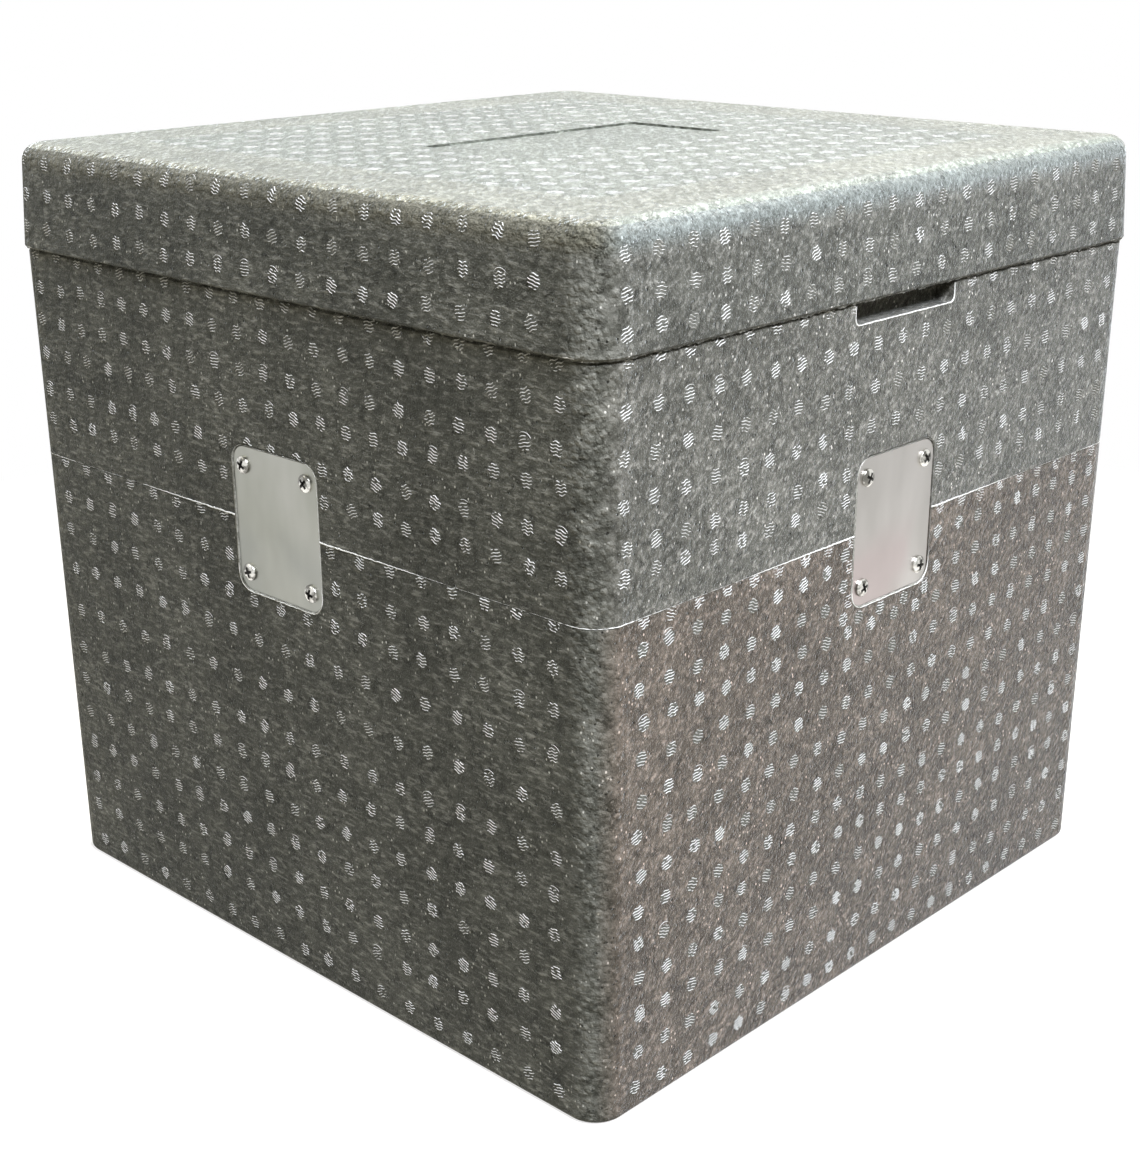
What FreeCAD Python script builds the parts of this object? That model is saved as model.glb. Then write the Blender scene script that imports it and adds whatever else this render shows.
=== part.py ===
import FreeCAD, Part
import math
import os

# Insulated shipping box, in millimetres, with +Z up and the origin under the middle of the base.
# A moulded foam tub carries a foam collar, and the lid stands on the collar.
# A plate on each side bridges the joint between tub and collar.

# Foam body: outer size at the lid line, heights from the floor, and the draft of the outer walls
body_size_x = 400.0
body_size_y = 400.0
seam_height = 229.0
rim_height = 336.0
body_draft_deg = 0.34
body_corner_radius = 15.0
base_edge_radius = 3.0
seam_edge_bevel = 0.5
rim_edge_bevel = 2.0

# Cavity: walls and floor of foam around it
wall_thickness = 50.0
floor_thickness = 55.0
cavity_draft_deg = 0.5
cavity_corner_radius = 25.0
cavity_floor_bevel = 8.0

# Tongue and groove, used alike at the seam and under the lid
tongue_width = 16.0
tongue_height = 10.0
tongue_draft_deg = 6.0
tongue_corner_radius = 24.0
groove_side_clearance = 0.4
groove_crest_clearance = 1.0

# Lid: a cap wider than the body, with a plug that enters the cavity
lid_overhang = 1.8
lid_height = 51.0
lid_draft_deg = 2.5
lid_top_radius = 9.0
lid_lower_edge_bevel = 0.9
plug_depth = 32.0
plug_clearance = 1.0
plug_edge_bevel = 4.0

# Shallow bare field sunk in the middle of the lid's top
field_size_x = 62.0
field_size_y = 152.0
field_depth = 1.2
field_corner_radius = 1.5

# Finger notch in the collar's upper edge, on the two sides that face along X
notch_width = 76.0
notch_height = 10.5
notch_depth = 10.0
notch_corner_radius = 3.0

# Joining plate, sunk in a pocket that spans the seam
plate_width = 60.0
plate_height = 70.0
plate_thickness = 1.5
plate_corner_radius = 8.0
plate_edge_bevel = 0.3
pocket_depth = 2.0
pocket_clearance = 1.1

# Pan-head screws, on a rectangle centred on the plate
screw_spacing_across = 45.0
screw_spacing_up = 52.0
screw_head_diameter = 8.5
screw_head_height = 2.0
screw_head_bevel = 1.0
screw_shank_diameter = 4.0
screw_length = 30.0
screw_point_bevel = 1.3
screw_hole_clearance = 0.25
cross_slot_length = 6.0
cross_slot_width = 1.3
cross_slot_depth = 1.1
screw_turns_deg = (20.0, 62.0, 78.0, 40.0)

# Flat faces round a screw's head, round its shank and holes, and round an anchor
head_sides = 16
shank_sides = 8
anchor_sides = 6

# Plastic anchor in the foam behind each screw
anchor_diameter = 9.0
anchor_tip_bevel = 1.6
anchor_wall_beyond_screw = 3.0
anchor_bore_clearance = 0.1
anchor_hole_clearance = 0.15

# Each side of the box: its name and the direction that it faces, in degrees from +X about +Z
sides = (("front", 270.0), ("right", 0.0), ("rear", 90.0), ("left", 180.0))

# Cutters reach this far past the faces that they open
overcut = 5.0
height_tolerance = 0.001

up = FreeCAD.Vector(0, 0, 1)
origin = FreeCAD.Vector(0, 0, 0)


def slope(degrees):
    return math.tan(math.radians(degrees))


# Sizes of the drafted walls, as (x, y) at a height

def body_outer(z):
    shrink = 2 * (rim_height - z) * slope(body_draft_deg)
    return body_size_x - shrink, body_size_y - shrink


def cavity_wall(z):
    shrink = 2 * (rim_height - z) * slope(cavity_draft_deg) + 2 * wall_thickness
    return body_size_x - shrink, body_size_y - shrink


def lid_outer(z):
    growth = 2 * lid_overhang - 2 * (z - rim_height) * slope(lid_draft_deg)
    return body_size_x + growth, body_size_y + growth


def plug_wall(z):
    cavity_x, cavity_y = cavity_wall(z)
    return cavity_x - 2 * plug_clearance, cavity_y - 2 * plug_clearance


# Building blocks

def round_edges(shape, radius, chosen):
    """Rounds the edges that the test picks."""
    return shape.makeFillet(radius, [edge for edge in shape.Edges if chosen(edge)])


def bevel_edges(shape, size, chosen):
    """Bevels the edges that the test picks."""
    return shape.makeChamfer(size, [edge for edge in shape.Edges if chosen(edge)])


def at_height(z):
    """A test for edges that lie level at height z."""
    def level(edge):
        box = edge.BoundBox
        return abs(box.ZMin - z) < height_tolerance and abs(box.ZMax - z) < height_tolerance
    return level


def rises(edge):
    """True for edges that climb from one level to another."""
    return edge.BoundBox.ZLength > height_tolerance


def drafted_block(size_at, z_low, z_high, corner_radius):
    """A block with flat drafted sides and rounded upright corners, sized by size_at(z) at each end."""
    low_x, low_y = size_at(z_low)
    high_x, high_y = size_at(z_high)
    wedge = Part.makeWedge(-low_x / 2, z_low, -low_y / 2, -high_y / 2, -high_x / 2,
                           low_x / 2, z_high, low_y / 2, high_y / 2, high_x / 2)
    wedge.rotate(origin, FreeCAD.Vector(1, 0, 0), 90)
    return round_edges(wedge, corner_radius, rises)


def rounded_plate(width, height, thickness, corner_radius):
    """A flat plate centred on the local origin, standing on z = 0."""
    corner = FreeCAD.Vector(-width / 2, -height / 2, 0)
    return round_edges(Part.makeBox(width, height, thickness, corner), corner_radius, rises)


def bar(diameter, sides, length):
    """A bar with flat sides along z, standing on z = 0, with its diameter measured across the corners."""
    corners = []
    for side in range(sides + 1):
        angle = math.radians(360 * side / sides)
        corners.append(FreeCAD.Vector(math.cos(angle), math.sin(angle), 0) * (diameter / 2))
    return Part.Face(Part.makePolygon(corners)).extrude(up * length)


def tongue_ring(base_z, height, side_gap):
    """The ring of a tongue that stands on base_z, grown by side_gap to make its groove."""
    base_x, base_y = body_outer(base_z)
    inset = (wall_thickness - tongue_width) / 2

    def outer_face(z):
        shrink = 2 * inset + 2 * (z - base_z) * slope(tongue_draft_deg) - 2 * side_gap
        return base_x - shrink, base_y - shrink

    def inner_face(z):
        shrink = 2 * (inset + tongue_width) - 2 * (z - base_z) * slope(tongue_draft_deg) + 2 * side_gap
        return base_x - shrink, base_y - shrink

    inner_radius = tongue_corner_radius - tongue_width
    outer = drafted_block(outer_face, base_z, base_z + height, tongue_corner_radius + side_gap)
    inner = drafted_block(inner_face, base_z, base_z + height, inner_radius - side_gap)
    return outer.cut(inner)


def groove_ring(base_z):
    return tongue_ring(base_z, tongue_height + groove_crest_clearance, groove_side_clearance)


def side_placement(facing_deg):
    """Sets a side's own frame: x to the right and y up along the drafted wall, z outwards, on the seam."""
    size_x, size_y = body_outer(seam_height)
    faces_x = abs(math.cos(math.radians(facing_deg))) > 0.5
    distance = size_x / 2 if faces_x else size_y / 2
    turn = FreeCAD.Rotation(up, facing_deg)
    upright = FreeCAD.Rotation(FreeCAD.Vector(0, 1, 0), up, FreeCAD.Vector(1, 0, 0), "ZXY")
    tilt = FreeCAD.Rotation(FreeCAD.Vector(1, 0, 0), body_draft_deg)
    place = turn.multVec(FreeCAD.Vector(distance, 0, 0)) + up * seam_height
    return FreeCAD.Placement(place, turn * upright * tilt)


def placed(shape, placement):
    result = shape.copy()
    result.Placement = placement * result.Placement
    return result


def screw_places():
    """The four screw positions on a side, in its own frame."""
    across = screw_spacing_across / 2
    height = screw_spacing_up / 2
    return [FreeCAD.Vector(x, y, 0) for x in (-across, across) for y in (-height, height)]


# Joining hardware, each in a side's own frame, where z = 0 is the foam wall

def plate_pocket():
    """The hollow in the foam for a plate, with the four holes for the anchors."""
    width = plate_width + 2 * pocket_clearance
    height = plate_height + 2 * pocket_clearance
    hollow = rounded_plate(width, height, pocket_depth + overcut, plate_corner_radius + pocket_clearance)
    hollow.translate(FreeCAD.Vector(0, 0, -pocket_depth))
    depth = anchor_length()
    for place in screw_places():
        hole = bar(anchor_diameter + 2 * anchor_hole_clearance, anchor_sides, depth + pocket_depth)
        hole.translate(place - up * (pocket_depth + depth))
        hollow = hollow.fuse(hole)
    return hollow


def joining_plate():
    plate = rounded_plate(plate_width, plate_height, plate_thickness, plate_corner_radius)
    plate = bevel_edges(plate, plate_edge_bevel, at_height(plate_thickness))
    for place in screw_places():
        hole = bar(screw_shank_diameter + 2 * screw_hole_clearance, shank_sides, plate_thickness)
        hole.translate(place)
        plate = plate.cut(hole)
    plate.translate(FreeCAD.Vector(0, 0, -pocket_depth))
    return plate


def pan_head_screw(turn_deg):
    """A screw along z, with the underside of its head on z = 0 and a crossed drive slot turned about z."""
    head = bar(screw_head_diameter, head_sides, screw_head_height)
    head = bevel_edges(head, screw_head_bevel, at_height(screw_head_height))
    shank = bar(screw_shank_diameter, shank_sides, screw_length)
    shank = bevel_edges(shank, screw_point_bevel, at_height(0))
    shank.translate(up * -screw_length)
    screw = head.fuse(shank)
    for angle in (turn_deg, turn_deg + 90):
        corner = FreeCAD.Vector(-cross_slot_length / 2, -cross_slot_width / 2, screw_head_height - cross_slot_depth)
        slot = Part.makeBox(cross_slot_length, cross_slot_width, cross_slot_depth + overcut, corner)
        slot.rotate(origin, up, angle)
        screw = screw.cut(slot)
    return screw


def anchor_length():
    """Length of the plastic anchor, from the back of the plate to its closed end."""
    return screw_length - plate_thickness + anchor_wall_beyond_screw


def anchor():
    """A plastic plug along z, with its mouth on z = 0 and a blind bore for the screw."""
    length = anchor_length()
    body = bar(anchor_diameter, anchor_sides, length)
    body = bevel_edges(body, anchor_tip_bevel, at_height(0))
    body.translate(up * -length)
    bore_depth = screw_length - plate_thickness + anchor_bore_clearance
    bore = bar(screw_shank_diameter + 2 * anchor_bore_clearance, shank_sides, bore_depth)
    bore.translate(up * -bore_depth)
    return body.cut(bore)


def screw_set():
    """The four screws of a plate, heads on its front face."""
    seat = up * (plate_thickness - pocket_depth)
    screws = []
    for place, turn_deg in zip(screw_places(), screw_turns_deg):
        screw = pan_head_screw(turn_deg)
        screw.translate(place + seat)
        screws.append(screw)
    return Part.makeCompound(screws)


def anchor_set():
    """The four anchors behind a plate, their mouths against its back."""
    anchors = []
    for place in screw_places():
        plug = anchor()
        plug.translate(place - up * pocket_depth)
        anchors.append(plug)
    return Part.makeCompound(anchors)


# Foam pieces

def all_pockets():
    pocket = plate_pocket()
    return Part.makeCompound([placed(pocket, side_placement(facing_deg)) for _, facing_deg in sides])


def cavity():
    """The whole hollow of the box, open at the rim, with a bevelled floor edge."""
    block = drafted_block(cavity_wall, floor_thickness, rim_height + overcut, cavity_corner_radius)
    return bevel_edges(block, cavity_floor_bevel, at_height(floor_thickness))


def lower_tub():
    tub = drafted_block(body_outer, 0, seam_height, body_corner_radius)
    tub = round_edges(tub, base_edge_radius, at_height(0))
    tub = bevel_edges(tub, seam_edge_bevel, at_height(seam_height))
    tub = tub.cut(cavity())
    tub = tub.fuse(tongue_ring(seam_height, tongue_height, 0))
    return tub.cut(all_pockets()).removeSplitter()


def finger_notches():
    """The two shallow notches that let fingers under the lid's edge."""
    bottom = rim_height - notch_height
    size_x, _ = body_outer(bottom)
    length = size_x + 2 * overcut
    corner = FreeCAD.Vector(-length / 2, -notch_width / 2, bottom)
    through = Part.makeBox(length, notch_width, notch_height + overcut, corner)
    along_x = [edge for edge in through.Edges if at_height(bottom)(edge) and edge.BoundBox.XLength > overcut]
    through = through.makeFillet(notch_corner_radius, along_x)
    kept_x = body_size_x - 2 * notch_depth
    kept_corner = FreeCAD.Vector(-kept_x / 2, -notch_width, bottom - overcut)
    return through.cut(Part.makeBox(kept_x, 2 * notch_width, notch_height + 3 * overcut, kept_corner))


def upper_collar():
    collar = drafted_block(body_outer, seam_height, rim_height, body_corner_radius)
    collar = bevel_edges(collar, seam_edge_bevel, at_height(seam_height))
    collar = bevel_edges(collar, rim_edge_bevel, at_height(rim_height))
    collar = collar.cut(cavity())
    collar = collar.cut(groove_ring(seam_height))
    collar = collar.cut(finger_notches())
    collar = collar.fuse(tongue_ring(rim_height, tongue_height, 0))
    return collar.cut(all_pockets()).removeSplitter()


def lid():
    top = rim_height + lid_height
    cap = drafted_block(lid_outer, rim_height, top, body_corner_radius + lid_overhang)
    cap = round_edges(cap, lid_top_radius, at_height(top))
    cap = bevel_edges(cap, lid_lower_edge_bevel, at_height(rim_height))
    plug_low = rim_height - plug_depth
    plug = drafted_block(plug_wall, plug_low, rim_height, cavity_corner_radius - plug_clearance)
    plug = bevel_edges(plug, plug_edge_bevel, at_height(plug_low))
    field = rounded_plate(field_size_x, field_size_y, field_depth + overcut, field_corner_radius)
    field.translate(up * (top - field_depth))
    return cap.fuse(plug).cut(groove_ring(rim_height)).cut(field).removeSplitter()


# The pieces by name

def build_pieces():
    pieces = {"lower_tub": lower_tub(), "upper_collar": upper_collar(), "lid": lid()}
    hardware = {"plate": joining_plate(), "screws": screw_set(), "anchors": anchor_set()}
    for side, facing_deg in sides:
        placement = side_placement(facing_deg)
        for kind, shape in hardware.items():
            pieces[side + "_" + kind] = placed(shape, placement)
    return pieces


os.makedirs("parts", exist_ok=True)
for name, shape in build_pieces().items():
    shape.exportStep("parts/" + name + ".step")
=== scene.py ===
import math
import random

import bpy
from mathutils import Matrix, Vector
from mathutils.bvhtree import BVHTree


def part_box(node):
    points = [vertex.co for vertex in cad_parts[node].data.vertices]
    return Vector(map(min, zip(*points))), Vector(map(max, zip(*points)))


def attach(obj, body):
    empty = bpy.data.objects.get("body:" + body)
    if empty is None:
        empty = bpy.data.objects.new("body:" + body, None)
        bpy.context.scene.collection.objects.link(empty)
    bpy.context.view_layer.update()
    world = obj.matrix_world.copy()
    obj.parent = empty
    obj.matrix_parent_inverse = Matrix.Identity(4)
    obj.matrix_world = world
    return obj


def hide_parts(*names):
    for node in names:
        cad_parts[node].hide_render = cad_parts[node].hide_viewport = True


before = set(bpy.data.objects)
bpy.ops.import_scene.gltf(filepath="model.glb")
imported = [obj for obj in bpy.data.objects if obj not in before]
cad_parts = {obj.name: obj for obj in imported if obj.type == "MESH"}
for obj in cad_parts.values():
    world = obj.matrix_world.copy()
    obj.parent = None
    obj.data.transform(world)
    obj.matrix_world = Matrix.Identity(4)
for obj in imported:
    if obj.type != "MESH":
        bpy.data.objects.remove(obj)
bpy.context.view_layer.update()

# An insulated shipping box of bead foam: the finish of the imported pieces, and the moulding marks on them.
# All lengths are in metres, and MM turns millimetres into metres.
MM = 0.001
random.seed(11)

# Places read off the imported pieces
collar_low, collar_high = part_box("upper_collar")
_, lid_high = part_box("lid")
BODY_HALF = collar_high.x
LID_HALF = lid_high.x
LID_TOP = lid_high.z
SEAM = collar_low.z

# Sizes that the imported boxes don't give: the same values as the solids have
RIM = 336 * MM
BODY_DRAFT = math.radians(0.34)
SEAM_HALF = BODY_HALF - (RIM - SEAM) * math.tan(BODY_DRAFT)
LID_DRAFT = math.radians(2.5)
LABEL_FIELD = (62 * MM, 152 * MM)
NOTCH_WIDTH = 76 * MM
NOTCH_HEIGHT = 10.5 * MM
NOTCH_CORNER = 3 * MM
BODY_CORNER = 15 * MM
LID_CORNER = 16.8 * MM
LID_BEVEL = 0.9 * MM
GAP_SIZE = (61.1 * MM, 71.1 * MM)
GAP_CORNER = 8.55 * MM
HEAD_DIAMETER = 8.5 * MM
HEAD_HEIGHT = 2.0 * MM
HEAD_EDGE = 0.7 * MM
SHANK_DIAMETER = 4 * MM
SCREW_LENGTH = 30 * MM
SHANK_TIP = 3 * MM
THREAD_PITCH = 1.6 * MM
THREAD_DEPTH = 0.45 * MM
SCREW_ACROSS, SCREW_UP = 45 * MM, 52 * MM
SEAT_DEPTH = 0.5 * MM

# Each side of the box: its name, and the direction that it faces in degrees from +X about +Z
SIDES = {"front": 270, "right": 0, "rear": 90, "left": 180}


# Node graphs

class Graph:
    """A material's node graph, built by short calls that each return an output socket."""

    def __init__(self, name):
        self.material = bpy.data.materials.new(name)
        self.material.use_nodes = True
        self.tree = self.material.node_tree
        self.tree.nodes.clear()
        self.shader = self.add("ShaderNodeBsdfPrincipled")
        self.output = self.add("ShaderNodeOutputMaterial")
        self.tree.links.new(self.shader.outputs["BSDF"], self.output.inputs["Surface"])
        self.place = self.add("ShaderNodeTexCoord").outputs["Object"]
        split = self.add("ShaderNodeSeparateXYZ")
        self.feed(split.inputs[0], self.place)
        self.x, self.y, self.z = split.outputs

    def add(self, kind, **settings):
        node = self.tree.nodes.new(kind)
        for name, value in settings.items():
            setattr(node, name, value)
        return node

    def feed(self, socket, value):
        """Links an output socket to this input, or sets it to a plain value."""
        if isinstance(value, bpy.types.NodeSocket):
            self.tree.links.new(value, socket)
        else:
            socket.default_value = value

    def scaled(self, factors):
        """The object's coordinates, stretched by a factor along each axis."""
        node = self.add("ShaderNodeMapping")
        self.feed(node.inputs["Vector"], self.place)
        node.inputs["Scale"].default_value = factors
        return node.outputs["Vector"]

    def stretched(self, direction, factor):
        """The object's coordinates, with everything drawn out by a factor along one direction."""
        long = Vector(direction).normalized()
        first = long.orthogonal().normalized()
        joined = self.add("ShaderNodeCombineXYZ")
        for index, axis in enumerate((long / factor, first, long.cross(first))):
            dot = self.add("ShaderNodeVectorMath", operation="DOT_PRODUCT")
            self.feed(dot.inputs[0], self.place)
            dot.inputs[1].default_value = axis
            self.feed(joined.inputs[index], dot.outputs["Value"])
        return joined.outputs[0]

    def noise(self, scale, detail, roughness, vector=None):
        node = self.add("ShaderNodeTexNoise")
        self.feed(node.inputs["Vector"], vector or self.place)
        node.inputs["Scale"].default_value = scale
        node.inputs["Detail"].default_value = detail
        node.inputs["Roughness"].default_value = roughness
        return node.outputs["Fac"]

    def cells(self, scale, output="Distance", vector=None):
        """Irregular round cells: how far a place is from its cell's middle, or a colour for each cell."""
        node = self.add("ShaderNodeTexVoronoi", feature="F1")
        self.feed(node.inputs["Vector"], vector or self.place)
        node.inputs["Scale"].default_value = scale
        return node.outputs[output]

    def ramp(self, value, *stops):
        """A curve through (position, level) stops, as a grey value."""
        node = self.add("ShaderNodeValToRGB")
        self.feed(node.inputs["Fac"], value)
        ramp = node.color_ramp
        while len(ramp.elements) < len(stops):
            ramp.elements.new(1.0)
        for element, (position, level) in zip(ramp.elements, stops):
            element.position = position
            element.color = (level, level, level, 1)
        return node.outputs["Color"]

    def math(self, operation, first, second=0.0, third=0.0):
        node = self.add("ShaderNodeMath", operation=operation)
        self.feed(node.inputs[0], first)
        self.feed(node.inputs[1], second)
        self.feed(node.inputs[2], third)
        return node.outputs[0]

    def mix(self, factor, first, second, blend="MIX"):
        """Mixes two colours."""
        node = self.add("ShaderNodeMix", data_type="RGBA", blend_type=blend)
        self.feed(node.inputs[0], factor)
        self.feed(node.inputs[6], first)
        self.feed(node.inputs[7], second)
        return node.outputs[2]

    def tone(self, scale, dull, bright):
        """A colour that wanders softly between two tones."""
        return self.mix(self.ramp(self.noise(scale, 3, 0.6), (0.3, 0.0), (0.7, 1.0)), dull, bright)

    def tinted(self, color, where, tint):
        """A colour, multiplied by a tint where a mask is one."""
        return self.mix(where, color, self.mix(1.0, color, tint, "MULTIPLY"))

    def bump(self, height, depth, under=None):
        """A bump whose full height is depth, in metres, laid over another."""
        node = self.add("ShaderNodeBump")
        self.feed(node.inputs["Height"], height)
        node.inputs["Distance"].default_value = depth
        node.inputs["Strength"].default_value = 1.0
        if under is not None:
            self.feed(node.inputs["Normal"], under)
        return node.outputs["Normal"]

    def finish(self, color, roughness, normal=None, **fixed):
        """Feeds the shader, and sets its plain sockets by their names."""
        self.feed(self.shader.inputs["Base Color"], color)
        self.feed(self.shader.inputs["Roughness"], roughness)
        if normal is not None:
            self.feed(self.shader.inputs["Normal"], normal)
        for name, value in fixed.items():
            self.shader.inputs[name.replace("_", " ")].default_value = value
        return self.material


# Materials

FOAM_DARK = (0.055, 0.056, 0.046, 1)
FOAM_MID = (0.112, 0.113, 0.096, 1)
FOAM_PALE = (0.34, 0.34, 0.305, 1)
FOAM_PIT = (0.012, 0.012, 0.009, 1)
FOAM_FLECK = (0.74, 0.73, 0.67, 1)
# What the foam's colour is multiplied by: in its clouds; and, as painted light and shade, on the sides of
# each piece that face along X, along the edges, at the corners, and on the border and the vent square of the
# lid's top
DULL_CLOUD, BRIGHT_CLOUD = (0.82, 0.82, 0.81, 1), (1.22, 1.22, 1.22, 1)
COLLAR_SIDE_LIGHT = (1.22, 1.19, 1.20, 1)
TUB_SIDE_LIGHT = (1.16, 0.96, 0.90, 1)
LID_SIDE_LIGHT = (1.04, 1.03, 1.04, 1)
WARM_EDGE_SHADE = (0.84, 0.81, 0.72, 1)
COOL_EDGE_HIGHLIGHT = (0.92, 1.03, 1.08, 1)
CORNER_SHADE = (0.84, 0.84, 0.82, 1)
BORDER_LIGHT = (1.42, 1.42, 1.30, 1)
VENT_SQUARE_LIGHT = (1.10, 1.18, 1.12, 1)
# Scales of the foam's noise, in cycles per metre
LEVEL_GRAIN, SLANTED_GRAIN, ACROSS_GRAIN = 560, 430, 400
FINE, BLOTCH, MOTTLE, CLOUDS = 1200, 210, 60, 14
BEND_SCALE = 260
# Sizes of what shows in the skin, and how deep its relief is
BEND = 1.1 * MM
BEAD_SIZE, PIT_SPACING, FLECK_SPACING = 3.1 * MM, 3.6 * MM, 2.6 * MM
BEAD_RELIEF, GRAIN_RELIEF, FINE_RELIEF, PIT_RELIEF = 1.0 * MM, 0.8 * MM, 0.45 * MM, 0.4 * MM
# Where the masks start and are full: distances from the middle planes, and from the lid's edge or top
CORNER_START, CORNER_FULL = 178 * MM, 190 * MM
BRIM_START, BRIM_FULL = 14 * MM, 8 * MM
FUZZ_START, FUZZ_FULL = 18 * MM, 7 * MM
VENT_SQUARE_HALF = 152 * MM


def rises(g, value, low, high):
    """Nothing up to low, climbing to one at high."""
    return g.ramp(g.math("DIVIDE", g.math("SUBTRACT", value, low), high - low), (0.0, 0.0), (1.0, 1.0))


def farther(g):
    """The larger of the distances from the box's two middle planes."""
    return g.math("MAXIMUM", g.math("ABSOLUTE", g.x), g.math("ABSOLUTE", g.y))


def faces_x(g):
    """One on the sides that face along X and nothing on those that face along Y, blended at the corners."""
    return rises(g, g.math("SUBTRACT", g.math("ABSOLUTE", g.x), g.math("ABSOLUTE", g.y)), -1 * MM, 14 * MM)


def on_top(g):
    """One on the flat of the lid's top."""
    return g.math("GREATER_THAN", g.z, LID_TOP - 2 * MM)


def in_vent_square(g):
    """One inside the square that carries the vents on the lid's top."""
    outside = rises(g, farther(g), VENT_SQUARE_HALF - 3 * MM, VENT_SQUARE_HALF + 3 * MM)
    return g.math("SUBTRACT", 1.0, outside)


def near_corner(g):
    """One on the upright corners of the box, falling to nothing on its broad faces."""
    nearer = g.math("MINIMUM", g.math("ABSOLUTE", g.x), g.math("ABSOLUTE", g.y))
    return rises(g, nearer, CORNER_START, CORNER_FULL)


def near_brim(g):
    """One along the rounded upper edges of the lid."""
    out = rises(g, farther(g), LID_HALF - BRIM_START, LID_HALF - BRIM_FULL)
    return g.math("MULTIPLY", out, rises(g, g.z, LID_TOP - BRIM_START, LID_TOP - BRIM_FULL))


def bent_place(g):
    """The object's coordinates, bent a little so that the beads are irregular."""
    wobble = g.add("ShaderNodeTexNoise")
    g.feed(wobble.inputs["Vector"], g.place)
    wobble.inputs["Scale"].default_value = BEND_SCALE
    warp = g.add("ShaderNodeVectorMath", operation="MULTIPLY_ADD")
    g.feed(warp.inputs[0], wobble.outputs["Color"])
    warp.inputs[1].default_value = (BEND,) * 3
    g.feed(warp.inputs[2], g.place)
    return warp.outputs[0]


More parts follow.
